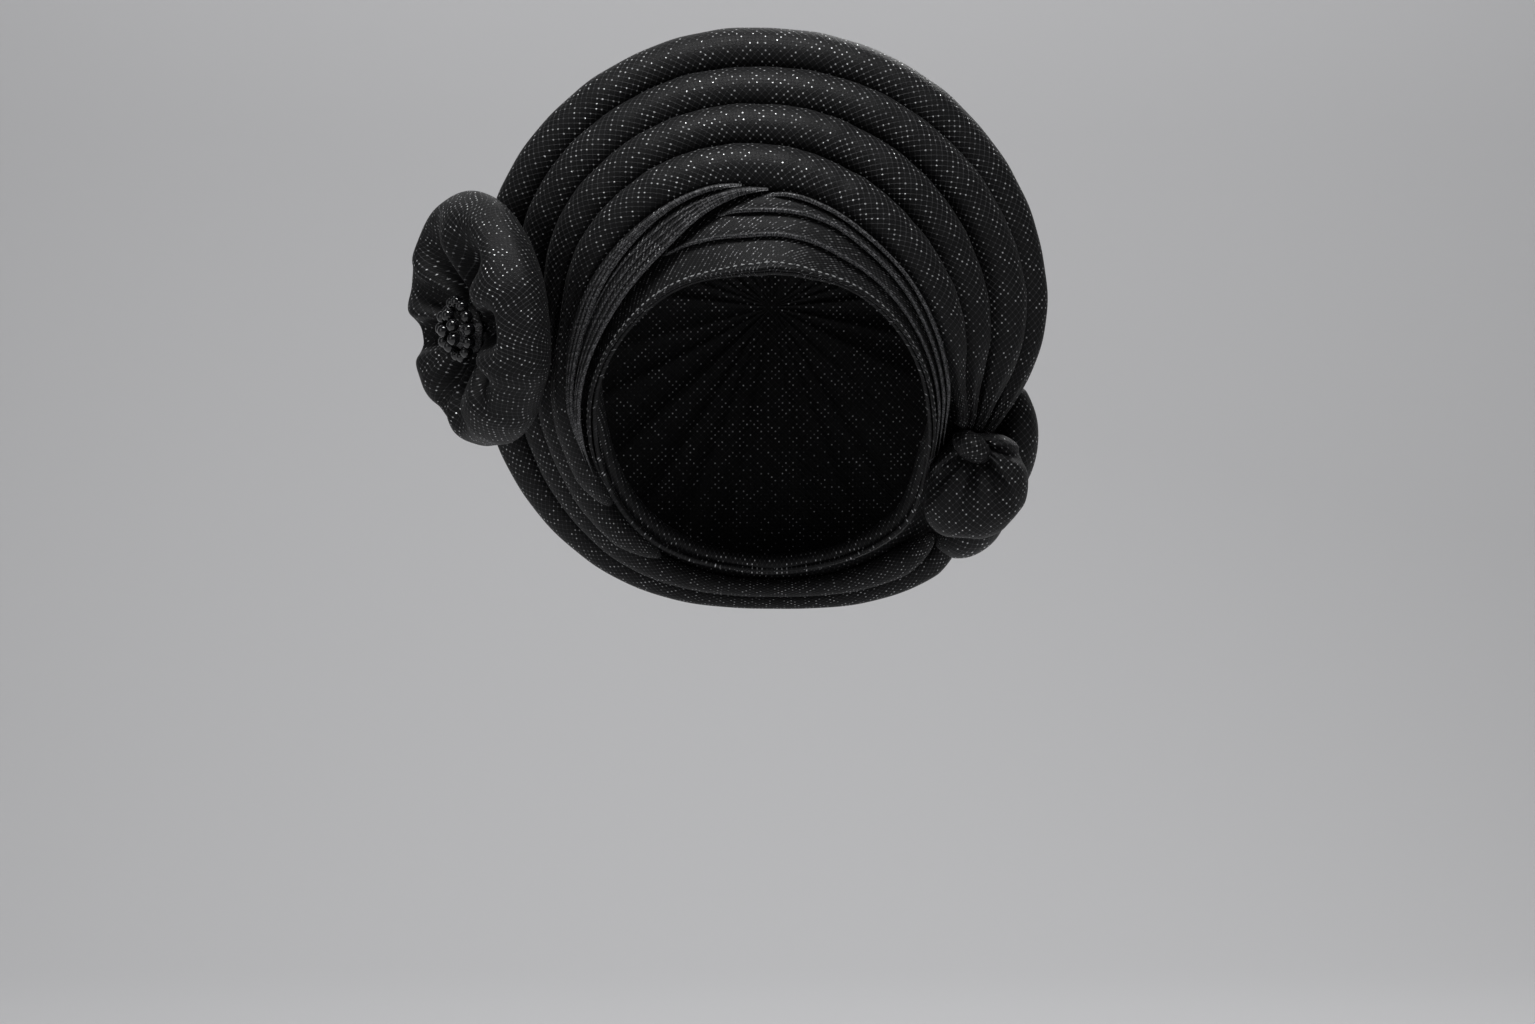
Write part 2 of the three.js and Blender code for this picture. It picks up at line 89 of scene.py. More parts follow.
# Where the rolls are drawn together: angle, squeeze, reach, pull, near, radius, depth
GATHERS = [
    (-33, 0.6, 13, 0.45, 8, 103, -6),
    (186, 0.42, 15, 0, 8, 112, 0),
]
ROLL_RINGS_PER_DEGREE = 1.5
ROLL_SIDES = 60
ROLL_DIAMONDS = 20  # of the weave, round a roll
ROLL_CREASES = 7  # folds round a roll where it is gathered
ROLL_CREASE_DEPTH = 0.26  # share of the radius
ROLL_TWIST = 0.8  # turns of those folds for each turn round the fan
ROLL_LUMPS, ROLL_LUMP_WAVES = 0.35, (9, 14, 23, 37)  # unevenness of the wadding

# The brow pleats from the hem up: name, level at both ends, lower edge as (angle, share), tucks as shares of
# the width above that edge.
PLEATS = [
    ("brow_band", (0, 0), ((-51, 0), (90, 0), (231, 0)), ()),
    (
        "wrap_pleat_1",
        (1, 1),
        ((-45, 0.3), (0, 0.4), (30, 0.44), (90, 0.39), (120, 0.41), (158, 0.55)),
        (),
    ),
    ("wrap_pleat_2", (2, 2), ((-42, 0.5), (0, 0.66), (45, 0.73), (90, 0.66), (124, 0.69)), ()),
    ("wrap_pleat_3", (3, 3), ((-39, 0.68), (0, 0.82), (45, 0.86), (96, 0.84)), ()),
    (
        "cross_pleat_1",
        (4, 2),
        ((92, 0.9), (120, 0.74), (150, 0.54), (180, 0.34), (224, 0.15)),
        (0.2, 0.4, 0.62),
    ),
    ("cross_pleat_2", (5, 3), ((104, 0.93), (135, 0.88), (165, 0.76), (220, 0.45)), (0.3, 0.6)),
]
PLEAT_FIRST, PLEAT_PER_LEVEL = 0.75, 0.045  # share of the band that a pleat goes up to
PLEAT_LEAST = 0.04  # least share of the band that a pleat covers
PLEAT_RINGS_PER_DEGREE = 1.6
PLEAT_FACE = 64  # points across a pleat
PLEAT_FOLD = 8  # points round its folded edge
PLEAT_TAPER, PLEAT_DIVE = (-2, 16.0), 1.6  # degrees in which its ends thin out, and how deep they tuck in
PLEAT_PLUMP, PLUMP_AT, PLUMP_WIDTH = 0.75, 1.6, 1.8  # how proud the folded edge stands, and where
TUCK_HEIGHT, TUCK_WIDTH = 1.2, 4.0
TUCK_EDGE, TUCK_OVERLAP = (-0.5, 0.3), 0.3  # how sharp a tuck's edge is, and where its own cloth starts
BAND_LAYERS = (  # angle, layers of cloth
    (-90, 1.5), (-60, 2), (-38, 4), (70, 4.2), (106, 6), (160, 5), (215, 4), (240, 2), (270, 1.5),
)
HEM_CLEAR = 6.0  # keeps the painted highlight above a fold off the hem
HEM_STITCH = {
    "angles": (-35, 215),
    "steps": 1600,
    "share": 0.085,  # of the way up the band
    "proud": 0.5,
    "length": 1.9,
    "pitch": 3.3,
    "radius": 0.36,
    "sides": 8,
    "rings": 7,
    "tip": 0.02,
}

# The crown
CROWN_REACH = 0.8  # share of the band that it goes up behind
CROWN_COLUMNS = 240
CROWN_ROWS = {"band": 12, "front": 9, "rim": 9, "dome": 36}
CROWN_FOLDS, CROWN_FOLD_DEPTH = 26, 3.0  # soft folds down the back, drawn to its middle
CROWN_UNEVEN = (3, 5, 8)
CROWN_WANDER, CROWN_WANDER_SEED = 1.4, 5  # how the folds stray
CROWN_ROUND, CROWN_MEAN = 0.6, 0.85  # how round the folds are between creases, and their mean height
CROWN_VARY, CROWN_VARY_SEED = (0.75, 0.5), 8  # how unlike in depth they are
CROWN_DRAPE = 0.7  # how far its weave follows the way over it rather than the radius

# The knot and the tail
KNOT = {
    "angle": -35,
    "radius": 104,
    "depth": -9,
    "half": (6, 9.5, 11),  # along, out, back
    "creases": 9,
    "crease": 0.1,
    "crease_power": 0.5,
    "tip": 0.02,
    "rings": 40,
    "sides": 56,
    "fill": 0.8,
}
TAIL_REACH = (  # angle, reach
    (-180, 13), (-150, 24), (-120, 40), (-90, 41), (-60, 36), (-30, 26), (0, 18), (45, 7), (135, 6),
    (180, 13),
)
TAIL_PUFF = {
    "place": {"x": 90, "y": 2, "z": -7, "turn": 0, "lean": 0},
    # angle, depth, width, notch in the rim
    "folds": ((-15, 5, 9, 2), (-62, 5, 9, 1), (-98, 4, 8, 1), (-140, 6, 10, 2)),
    # share of the reach, height, share of the folds' depth
    "section": (
        (0.0, 8, 0), (0.12, 9, 0.3), (0.4, 14, 1), (0.72, 11.5, 0.8), (0.93, 5, 0.3), (1, -3, 0),
        (0.95, -14, 0), (0.7, -26, 0),
    ),
    "columns": 110,
    "rows": 40,
    "gather": 1.0,
    "sewn_within": 0.2,
    "sewn_below": -12,
    "fill": 0.6,
}
TAIL_ROLLS = {  # x, y, z, radius
    "tail_roll_side": (
        (107, 30, 22, 4), (109, 31, 3, 9.5), (106, 33, -15, 10.5), (97, 37, -29, 9), (90, 42, -37, 5),
    ),
    "tail_roll_low": ((99, 44, -22, 5), (96, 46, -38, 9.5), (87, 50, -47, 9.5), (75, 55, -51, 5)),
}
TAIL_ROLL = {
    "depth": 1.5,  # from front to back, for each unit of width
    "close": 6,
    "tip": 0.01,
    "creases": 6,
    "crease": 0.05,
    "creased_from": 0.7,
    "rings": 60,
    "sides": 48,
    "fill": 0.75,
}

# The rosette and its beads
ROSETTE_RADIUS, ROSETTE_LIFT = 54.5, 3.0  # it reaches further at its top than at its foot
ROSETTE = {
    "place": {"x": -123.5, "y": -22, "z": 42.5, "turn": 64, "lean": 8},
    # angle, depth, width, notch in the rim
    "folds": (
        (106, 17, 22, 0), (46, 17, 18, 0), (-6, 16, 15, 2), (-46, 11, 12, 2), (-92, 7, 9, 1),
        (-128, 14, 15, 4), (178, 13, 11, 11), (146, 9, 10, 1),
    ),
    # share of the reach, height, share of the folds' depth
    "section": (
        (0.0, 0.5, 0), (0.2, 1, 0), (0.34, 5, 0.75), (0.5, 11, 1), (0.68, 15.5, 0.7), (0.86, 12, 0.15),
        (0.97, 4, 0), (1, -5, 0), (0.86, -14, 0), (0.4, -24, 0),
    ),
    "columns": 150,
    "rows": 46,
    "gather": 1.3,
    "sewn_within": 0.3,
    "sewn_below": -13,
    "fill": 0.6,
}
GATHER_FOLDS = 31  # fine folds where a puff is drawn in
GATHER_REACH, GATHER_START = 0.42, (0.1, 0.3)  # shares of a puff's reach
NOTCH_START = (0.5, 1)  # share of a puff's reach where a notch starts and is full
VALLEY_POWER = 4  # how flat a valley's floor is
BUTTON = {"radius": 10.5, "base": 1.6, "tip": 0.05, "rings": 20, "sides": 48, "fill": 0.9}
BEAD_RADIUS, BEAD_REACH, BEAD_HOLE = 2.75, 13.5, 0.45
BEAD_PLACES = ((0, 1), (30, 7), (60, 13))  # polar angle on the button, count
BEAD_BALL_RINGS, BEAD_SIDES = 22, 28
BEAD_HOLE_RINGS = 4
BEAD_HOLE_DEPTHS = (0.6, 0.95)  # of its floor and its mouth, as shares of the bead's radius
BEAD_HOLE_FLOOR = 0.25  # radius of its floor, as a share of the hole's

# Swelling of the puffs' cloth over their filling
PUFF_FRAMES = 18
PUFF_MOST = 3.5  # how far a point may move
PUFF_CLOTH = {
    "quality": 6,
    "mass": 0.15,
    "tension_stiffness": 12,
    "compression_stiffness": 12,
    "bending_stiffness": 0.35,
    "use_pressure": True,
    "uniform_pressure_force": 2.2,
    "shrink_min": -0.07,
}
LEAST_STEP = 1e-9  # keeps a point that stays still from a division by nothing

# Looks of the cloth, the beads and the thread
UV_LAYER = "cloth"
WEAVE = 3.2  # width of a diamond of the cloth's open weave
BLACK = (0.004, 0.004, 0.0045, 1)
ROLL_CLOTH = {
    "base": BLACK,
    "thread": (0.027, 0.027, 0.029, 1),
    "glint": (0.9, 0.91, 0.93, 1),
    "period": WEAVE,
    "stretch": 1.0,
    "dash": (1, 1, 0),
    "fold_highlight": None,
}
FLAT_CLOTH = {
    "base": BLACK,
    "thread": (0.013, 0.013, 0.014, 1),
    "glint": (0.46, 0.46, 0.475, 1),
    "period": 2.6,
    "stretch": 1.3,
    "dash": (0.42, 1.1, 0),
    "fold_highlight": (0.5, 1.9),  # where the painted highlight above a fold fades
}
HALF_CELL = (0.5, 0.5, 0)
THREAD_EDGE = (0.02, 0.1)  # shares of a diamond, from the thread's middle
GLINT_EDGE = (0.08, 0.2)  # shares of a diamond, from the crossing
GLINT_CHANCE = (0.45, 1.05, 0.03, 1)  # noise from and to, brightness from and to
WEAR_SCALE, WEAR_DETAIL = 0.05, 3.0
WEAR_SHADE = (0.3, 0.7, 0.55, 1.0)  # noise from and to, shade from and to
FUZZ_SCALE, FUZZ_DETAIL = 1.6, 2.0
# Gaps in the painted highlight along folds, and its strength beside the glints
FOLD_HIGHLIGHT_BREAKS, FOLD_HIGHLIGHT_SHARE = (0.45, 0.6, 0.1, 1), 0.5
CLOTH_ROUGHNESS = (0, 1, 0.55, 0.3)  # no glint and full glint, roughness from and to
CLOTH_METAL = (0, 1, 0, 0.85)
RELIEF_STRENGTH, RELIEF_DISTANCE = 0.55, 0.0004
CLOTH_SOCKETS = {"Sheen Weight": 0.015, "Sheen Roughness": 0.45, "Specular IOR Level": 0.24}
BEAD_LOOK = {
    "colours": ((0.004, 0.004, 0.005, 1), (0.008, 0.008, 0.009, 1)),
    "scale": 420.0,
    "roughness": (0.3, 0.7, 0.04, 0.1),
    "sockets": {"Coat Weight": 0.6, "Coat Roughness": 0.04},
}
THREAD_LOOK = {
    "colours": ((0.05, 0.05, 0.052, 1), (0.75, 0.76, 0.77, 1)),
    "scale": 900.0,
    "roughness": (0.3, 0.7, 0.5, 0.32),
    "sockets": {},
}
SPECKLE_DETAIL = 2.0
MIX_FACTOR, MIX_A, MIX_B, MIX_RESULT = 0, 6, 7, 2  # sockets of a mix node's colour form

# Camera
IMAGE_WIDTH = 1535
SENSOR = 36.0
MM_PER_PIXEL = 0.42  # at VIEW_DEPTH
VIEW_DISTANCE = 1600.0
VIEW_DEPTH, VIEW_HEIGHT = -40.0, -36.0

# Studio, in metres
FLOOR = {"height": -0.43, "front": -4.0, "half_width": 5, "bend_from": 1.6, "bend": 0.8, "wall": 3.0}
FLOOR_BEND_STEPS = 24
PAPER = {"Base Color": (0.6, 0.6, 0.61, 1), "Roughness": 0.95}
SKY = {"Color": (0.8, 0.81, 0.83, 1), "Strength": 0.1}
MIDDLE = (0, -0.03, 0.06)
LIGHTS = (  # name, place, aim, width and height, power
    ("key", (-0.15, -0.8, 1.55), MIDDLE, (0.8, 0.5), 25),
    ("fill", (1.3, -1.2, 0.35), MIDDLE, (0.9, 1.2), 1.0),
    ("side", (-1.4, -0.9, 0.4), MIDDLE, (0.8, 1.2), 2.0),
    ("rear", (0.5, 1.2, 1.2), MIDDLE, (0.6, 0.5), 8),
    ("back", (0, 1.3, 1.5), (0, 2.2, 0.2), (2.4, 1.0), 17),
)


# Curves and waves
def through(at, values, where, period=None):
    """A smooth curve through values at some places, by cubic pieces. With a period it goes round."""
    at, values, where = (np.asarray(x, float) for x in (at, values, where))
    count = len(at)
    if period:
        where = at[0] + np.mod(where - at[0], period)
        first = np.searchsorted(at, where, side="right") - 1
        rows = [(first + k) % count for k in (-1, 0, 1, 2)]
        steps = [np.mod(at[rows[k + 1]] - at[rows[k]], period) for k in range(3)]
    else:
        where = np.clip(where, at[0], at[-1])
        first = np.clip(np.searchsorted(at, where, side="right") - 1, 0, count - 2)
        rows = [np.clip(first + k, 0, count - 1) for k in (-1, 0, 1, 2)]
        steps = [at[rows[k + 1]] - at[rows[k]] for k in range(3)]
    t = (where - at[rows[1]]) / steps[1]
    a, b, c, d = (values[row] for row in rows)
    rise = (c - a) / (steps[0] + steps[1]) * steps[1]
    fall = (d - b) / (steps[1] + steps[2]) * steps[1]
    return b + t * (rise + t * (3 * (c - b) - 2 * rise - fall + t * (2 * (b - c) + rise + fall)))


def lengths(points):
    """The way along a row of points, from 0."""
    steps = np.linalg.norm(np.diff(points, axis=0), axis=-1)
    return np.concatenate([np.zeros((1, *steps.shape[1:])), np.cumsum(steps, 0)])


def resampled(rows, count):
    """A smooth run of count rows through a short table."""
    rows = np.array(rows, float)
    way = lengths(rows[:, :2])
    where = np.linspace(0, way[-1], count)
    return np.stack([through(way, column, where) for column in rows.T], 1)


def turn_from(start, end):
    """The turn from one angle to another in degrees, the short way round."""
    return np.mod(end - start + 180, 360) - 180


def smooth(x, low, high):
    """A soft step from 0 at low to 1 at high."""
    t = np.clip((x - low) / (high - low), 0, 1)
    return t * t * (3 - 2 * t)


def wave(x):
    """A wave from 0 to 1 and back."""
    return 0.5 - 0.5 * np.cos(x)


def ripple(angles, waves, seed):
    """A gentle seeded unevenness, about -1 to 1."""
    rng = np.random.default_rng(seed)
    total = np.zeros_like(angles, float)
    for count in waves:
        total += np.sin(np.radians(count * angles) + rng.uniform(0, 2 * math.pi)) / len(waves)
    return total


def circle(count):
    """Angles round a ring."""
    return np.linspace(0, 2 * math.pi, count, endpoint=False)


def heading(turn):
    """The unit step at an angle."""
    return np.stack([np.cos(turn), np.sin(turn)], -1)


def spun(a, b, angle):
    """Two coordinates after a turn from the first to the second."""
    return a * math.cos(angle) - b * math.sin(angle), a * math.sin(angle) + b * math.cos(angle)


def lathe(radius, height, sides):
    """Rings round Z, one for each radius and height."""
    turn = circle(sides)
    radius, height = radius[:, None], height[:, None]
    return np.stack([radius * np.cos(turn), radius * np.sin(turn), height * np.ones_like(turn)], -1)


# The fan of sections
def stack(angles):
    """The rolls' middles at some angles and the one radius at which they just clear each other."""
    read = {
        name: through(STATIONS[:, 0], STATIONS[:, k], angles, 360)
        for k, name in enumerate(STATION_COLUMNS)
    }
    shares = [i / (len(ROLLS) - 1) for i in range(len(ROLLS))]
    tops = [read[f"top_{i + 1}"] for i in range(len(ROLLS))]
    depths = [read["back"] + (read["front"] - read["back"]) * share for share in shares]
    steps = [np.hypot(tops[i + 1] - tops[i], depths[i + 1] - depths[i]) for i in range(len(ROLLS) - 1)]
    radius = np.minimum(ROLL_RADIUS, (np.min(steps, 0) - GAP) / 2)
    middles = [np.stack([top - radius, depth], -1) for top, depth in zip(tops, depths)]
    return read, radius, middles


def fan_points(angles, flat):
    """Points at (radius, depth) in sections at some angles, as x, y, z."""
    turn = np.radians(angles)
    height = FAN_HEIGHT + FAN_CLIMB * (flat[..., 1] - FAN_DEPTH)
    return np.stack(
        [FAN_X + flat[..., 0] * np.cos(turn), flat[..., 1], height + flat[..., 0] * np.sin(turn)], -1
    )


def band_line(angles):
    """The line that the pleats are wound on: hem, foot under the front roll, and the way out from it."""
    read, radius, middles = stack(angles)
    front = middles[-1]
    across = np.clip(read["band"] - front[:, 0], -radius, radius)
    tuck = np.stack([read["band"], front[:, 1] - np.sqrt(radius**2 - across**2) - GAP], -1)
    hem = np.stack([read["hem"], read["hem_depth"]], -1)
    run = (tuck - hem) / np.linalg.norm(tuck - hem, axis=1, keepdims=True)
    out = np.stack([run[:, 1], -run[:, 0]], -1)
    at, layers = zip(*BAND_LAYERS)
    depth = LAYER * through(at, layers, 90 + turn_from(90, angles))
    return hem, tuck - out * depth[:, None], out


# Meshes
def linked(name, data):
    """A new object in the scene."""
    thing = bpy.data.objects.new(name, data)
    bpy.context.scene.collection.objects.link(thing)
    return thing


def new_piece(name, points, faces, material):
    """A piece of the part from points in millimetres."""
    mesh = bpy.data.meshes.new(name)
    mesh.from_pydata((points * MM).tolist(), [], faces)
    mesh.shade_smooth()
    mesh.materials.append(material)
    piece = linked(name, mesh)
    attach(piece, "root")
    return piece


def loft_faces(rows, count):
    """Quads through rings that close on themselves, and triangles from the point at each end."""
    row, column = np.meshgrid(np.arange(rows - 1), np.arange(count), indexing="ij")
    after = (column + 1) % count
    low, high = row * count, (row + 1) * count
    quads = np.stack([low + column, low + after, high + after, high + column], -1).reshape(-1, 4)
    k = np.arange(count)
    top = (rows - 1) * count
    start = np.stack([np.full(count, rows * count), (k + 1) % count, k], -1)
    end = np.stack([np.full(count, rows * count + 1), top + k, top + (k + 1) % count], -1)
    return [*quads.tolist(), *start.tolist(), *end.tolist()]


def loft_corners(uv):
    """The place in the cloth of each corner of those faces."""
    count = uv.shape[1] - 1
    quads = np.stack([uv[:-1, :-1], uv[:-1, 1:], uv[1:, 1:], uv[1:, :-1]], 2).reshape(-1, 4, 2)
    first, last = (np.broadcast_to(row[:-1].mean(0), (count, 2)) for row in (uv[0], uv[-1]))
    start = np.stack([first, uv[0, 1:], uv[0, :-1]], 1)
    end = np.stack([last, uv[-1, :-1], uv[-1, 1:]], 1)
    return [*quads.tolist(), *start.tolist(), *end.tolist()]


def loft(node, rings, uv, material):
    """A closed body in a node's place, through rings, its ends drawn to a point and its faces out."""
    rows, count = rings.shape[:2]
    points = np.concatenate([rings.reshape(-1, 3), [rings[0].mean(0), rings[-1].mean(0)]])
    faces, corners = loft_faces(rows, count), loft_corners(uv)
    a, b, c, d = points[np.array(faces[: (rows - 1) * count]).T]
    if np.sum(a * (np.cross(b, c) + np.cross(c, d))) < 0:
        faces = [face[::-1] for face in faces]
        corners = [corner[::-1] for corner in corners]
    piece = new_piece(f"{node}_piece", points, faces, material)
    layer = piece.data.uv_layers.new(name=UV_LAYER)
    layer.uv.foreach_set("vector", np.concatenate([np.ravel(corner) for corner in corners]))
    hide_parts(node)
    return piece


def cut_width(piece, length):
    """The flat width of a doubled sheet of some length, by its surface, in metres."""
    return sum(face.area for face in piece.data.polygons) / 2 / length


# The cloth's place on a piece, in millimetres
def tube_map(rings, around):
    """Cloth round a tube: the way along it, and one width of cloth round it, gathered where it is thin."""
    along = lengths(rings).mean(1)
    across = np.linspace(0, around, rings.shape[1] + 1)
    return np.stack(np.meshgrid(along, across, indexing="ij"), -1)


def spread(out):
    """Cloth laid out from a middle, by the way from it at each point of some rings."""
    out = np.concatenate([out, out[:, :1]], 1)
    turn = np.linspace(0, 2 * math.pi, out.shape[1])
    return out[..., None] * heading(turn)[None]


def disc_map(rings):
    """Cloth laid over a puff from its middle."""
    return spread(lengths(rings) + np.linalg.norm(rings[0] - rings[0].mean(0), axis=1))


def crown_map(rings):
    """Cloth over a hollow wall, outside and then inside: between the way from its middle and the radius."""
    way = lengths(rings)
    reach = np.linalg.norm(rings - rings.mean(1, keepdims=True), axis=2)
    over = np.minimum(way, way[-1] - way)
    return spread(reach[0] + CROWN_DRAPE * over + (1 - CROWN_DRAPE) * (reach - reach[0]))


# Nodes of the materials
def add(tree, kind, links=(), **settings):
    """A new node with its settings and its sockets, each linked or set."""
    node = tree.nodes.new(kind)
    for key, value in settings.items():
        setattr(node, key, value)
    for socket, value in links:
        if isinstance(value, bpy.types.NodeSocket):
            tree.links.new(value, node.inputs[socket])
        else:
            node.inputs[socket].default_value = value
    return node


def number(tree, operation, a, b):
    return add(tree, "ShaderNodeMath", [(0, a), (1, b)], operation=operation).outputs[0]


def vector(tree, operation, *values):
    node = add(tree, "ShaderNodeVectorMath", enumerate(values), operation=operation)
    return node.outputs["Value" if operation == "LENGTH" else "Vector"]


def mapped(tree, value, low, high, start, end):
    links = [("Value", value), ("From Min", low), ("From Max", high), ("To Min", start), ("To Max", end)]
    return add(tree, "ShaderNodeMapRange", links, interpolation_type="SMOOTHSTEP").outputs["Result"]


def noise(tree, place, scale, detail):
    links = [("Vector", place), ("Scale", scale), ("Detail", detail)]
    return add(tree, "ShaderNodeTexNoise", links).outputs["Fac"]


def blend(tree, factor, a, b):
    links = [(MIX_FACTOR, factor), (MIX_A, a), (MIX_B, b)]
    return add(tree, "ShaderNodeMix", links, data_type="RGBA").outputs[MIX_RESULT]


def new_material(name, sockets):
    """A material, its node tree and its shader, with the values that are the same all over."""
    material = bpy.data.materials.new(name)
    material.use_nodes = True
    shader = material.node_tree.nodes["Principled BSDF"]
    for key, value in sockets.items():
        shader.inputs[key].default_value = value
    return material, material.node_tree, shader


# Materials
def weave(tree, place, period, stretch, dash):
    """An open diamond weave: the masks of its threads and of the glints where they cross."""
    scale = math.sqrt(2) / period
    shaped = [("Vector", place), ("Scale", (scale, scale * stretch, 1)), ("Rotation", (0, 0, math.pi / 4))]
    turned = add(tree, "ShaderNodeMapping", shaped).outputs["Vector"]
    off = vector(tree, "SUBTRACT", vector(tree, "FRACTION", turned), HALF_CELL)
    near = vector(tree, "SUBTRACT", HALF_CELL, vector(tree, "ABSOLUTE", off))
    sides = add(tree, "ShaderNodeSeparateXYZ", [("Vector", near)]).outputs
    threads = mapped(tree, number(tree, "MINIMUM", sides[0], sides[1]), *THREAD_EDGE, 1, 0)
    apart = vector(tree, "LENGTH", vector(tree, "MULTIPLY", near, dash))
    crossings = mapped(tree, apart, *GLINT_EDGE, 1, 0)
    cell = vector(tree, "FLOOR", vector(tree, "ADD", turned, HALF_CELL))
    chance = add(tree, "ShaderNodeTexWhiteNoise", [("Vector", cell)], noise_dimensions="3D")
    bright = mapped(tree, chance.outputs["Value"], *GLINT_CHANCE)
    return threads, number(tree, "MULTIPLY", crossings, bright)


def with_fold_highlight(tree, glints, place, fuzz, fade):
    """The glints with a broken painted highlight just above each fold, where light would catch its edge."""
    height = add(tree, "ShaderNodeSeparateXYZ", [("Vector", place)]).outputs[1]
    line = mapped(tree, height, *fade, 1, 0)
    broken_highlight = number(tree, "MULTIPLY", line, mapped(tree, fuzz, *FOLD_HIGHLIGHT_BREAKS))
    return number(tree, "MAXIMUM", glints, number(tree, "MULTIPLY", broken_highlight, FOLD_HIGHLIGHT_SHARE))


def cloth_material(name, base, thread, glint, period, stretch, dash, fold_highlight):
    """Black open-weave cloth with lighter threads, glints at their crossings and, where asked, a painted
    highlight above folds.
    """
    material, tree, shader = new_material(name, CLOTH_SOCKETS)
    place = add(tree, "ShaderNodeUVMap", uv_map=UV_LAYER).outputs["UV"]
    threads, glints = weave(tree, place, period, stretch, dash)
    patches = mapped(tree, noise(tree, place, WEAR_SCALE, WEAR_DETAIL), *WEAR_SHADE)
    fuzz = noise(tree, place, FUZZ_SCALE, FUZZ_DETAIL)
    # A painted highlight just above each fold, drawn in with the glints' pale colour and gloss
    if fold_highlight:
        glints = with_fold_highlight(tree, glints, place, fuzz, fold_highlight)
    body = blend(tree, number(tree, "MULTIPLY", threads, patches), base, thread)
    tree.links.new(blend(tree, glints, body, glint), shader.inputs["Base Color"])
    tree.links.new(mapped(tree, glints, *CLOTH_ROUGHNESS), shader.inputs["Roughness"])
    tree.links.new(mapped(tree, glints, *CLOTH_METAL), shader.inputs["Metallic"])
    relief = number(tree, "ADD", threads, fuzz)
    links = [("Strength", RELIEF_STRENGTH), ("Distance", RELIEF_DISTANCE), ("Height", relief)]
    tree.links.new(add(tree, "ShaderNodeBump", links).outputs["Normal"], shader.inputs["Normal"])
    return material


def speckled_material(name, colours, scale, roughness, sockets):
    """A colour and a gloss that vary a little over the surface."""
    material, tree, shader = new_material(name, sockets)
    place = add(tree, "ShaderNodeTexCoord").outputs["Object"]
    cloud = noise(tree, place, scale, SPECKLE_DETAIL)
    tree.links.new(blend(tree, cloud, *colours), shader.inputs["Base Color"])
    tree.links.new(mapped(tree, cloud, *roughness), shader.inputs["Roughness"])
    return material


# Rolls
def make_roll(index, material):
    """A padded roll of the fan, squeezed and creased where it is drawn together."""
    name, start, end = ROLLS[index]
    angles = np.linspace(start, end, int((end - start) * ROLL_RINGS_PER_DEGREE) + 1)
    _, radius, middles = stack(angles)
    centre = middles[index].copy()
    size = radius * np.sqrt(np.clip((end - angles) / ROLL_CLOSE, ROLL_TIP, 1))
    drawn = np.zeros_like(angles)
    for at, squeeze, reach, pull, near, gather_radius, gather_depth in GATHERS:
        away = turn_from(at, angles)
        felt = np.exp(-((away / reach) ** 2))
        size = size * (1 - squeeze * felt)
        drawn = np.maximum(drawn, felt)
        pulled = (pull * np.exp(-((away / near) ** 2)))[:, None]
        centre += pulled * (np.array([gather_radius, gather_depth]) - centre)
    turn = circle(ROLL_SIDES)
    crease = wave(ROLL_CREASES * turn[None] + np.radians(angles)[:, None] * ROLL_TWIST + index)
    lumps = ROLL_LUMPS * ripple(angles, ROLL_LUMP_WAVES, index)
    full = (size + lumps * size / ROLL_RADIUS)[:, None]
    reach = full * (1 - ROLL_CREASE_DEPTH * drawn[:, None] * crease)
    rings = fan_points(angles[:, None], centre[:, None] + reach[..., None] * heading(turn)[None])
    piece = loft(name, rings, tube_map(rings, ROLL_DIAMONDS * WEAVE), material)


# Pleats
def pleat_profile(width, low, tucks):
    """The loop of a pleat's section by width: the way up from its folded edge, lift, cloth above a fold."""
    fold = CLOTH / 2
    width = width[:, None]
    outer = np.linspace(1, 0, PLEAT_FACE)[None] * (width - fold) + fold
    proud = PLEAT_PLUMP * np.exp(-(((outer - PLUMP_AT) / PLUMP_WIDTH) ** 2))
    above = outer
    for tuck in tucks:
        past = outer - tuck * width
        rise = smooth(past, *TUCK_EDGE) * np.clip(1 - past / TUCK_WIDTH, 0, 1)
        proud = proud + TUCK_HEIGHT * rise * smooth(width - outer, 0, TUCK_WIDTH)
        above = np.where(past > -TUCK_OVERLAP, past + fold, above)
    bend = np.linspace(math.pi / 2, 1.5 * math.pi, PLEAT_FOLD)[None] * np.ones_like(width)
    under = np.linspace(fold, -fold, PLEAT_FOLD)[None] * np.ones_like(width)
    inner = np.linspace(0, 1, PLEAT_FACE // 2)[None] * (width - fold) + fold
    way = np.concatenate([outer, fold + fold * np.cos(bend), inner], 1)
    lift = np.concatenate([CLOTH + proud, fold + fold * np.sin(bend), np.zeros_like(inner)], 1)
    across = np.concatenate([above, under, -inner, above[:, :1]], 1)
    return way, lift + low[:, None], across


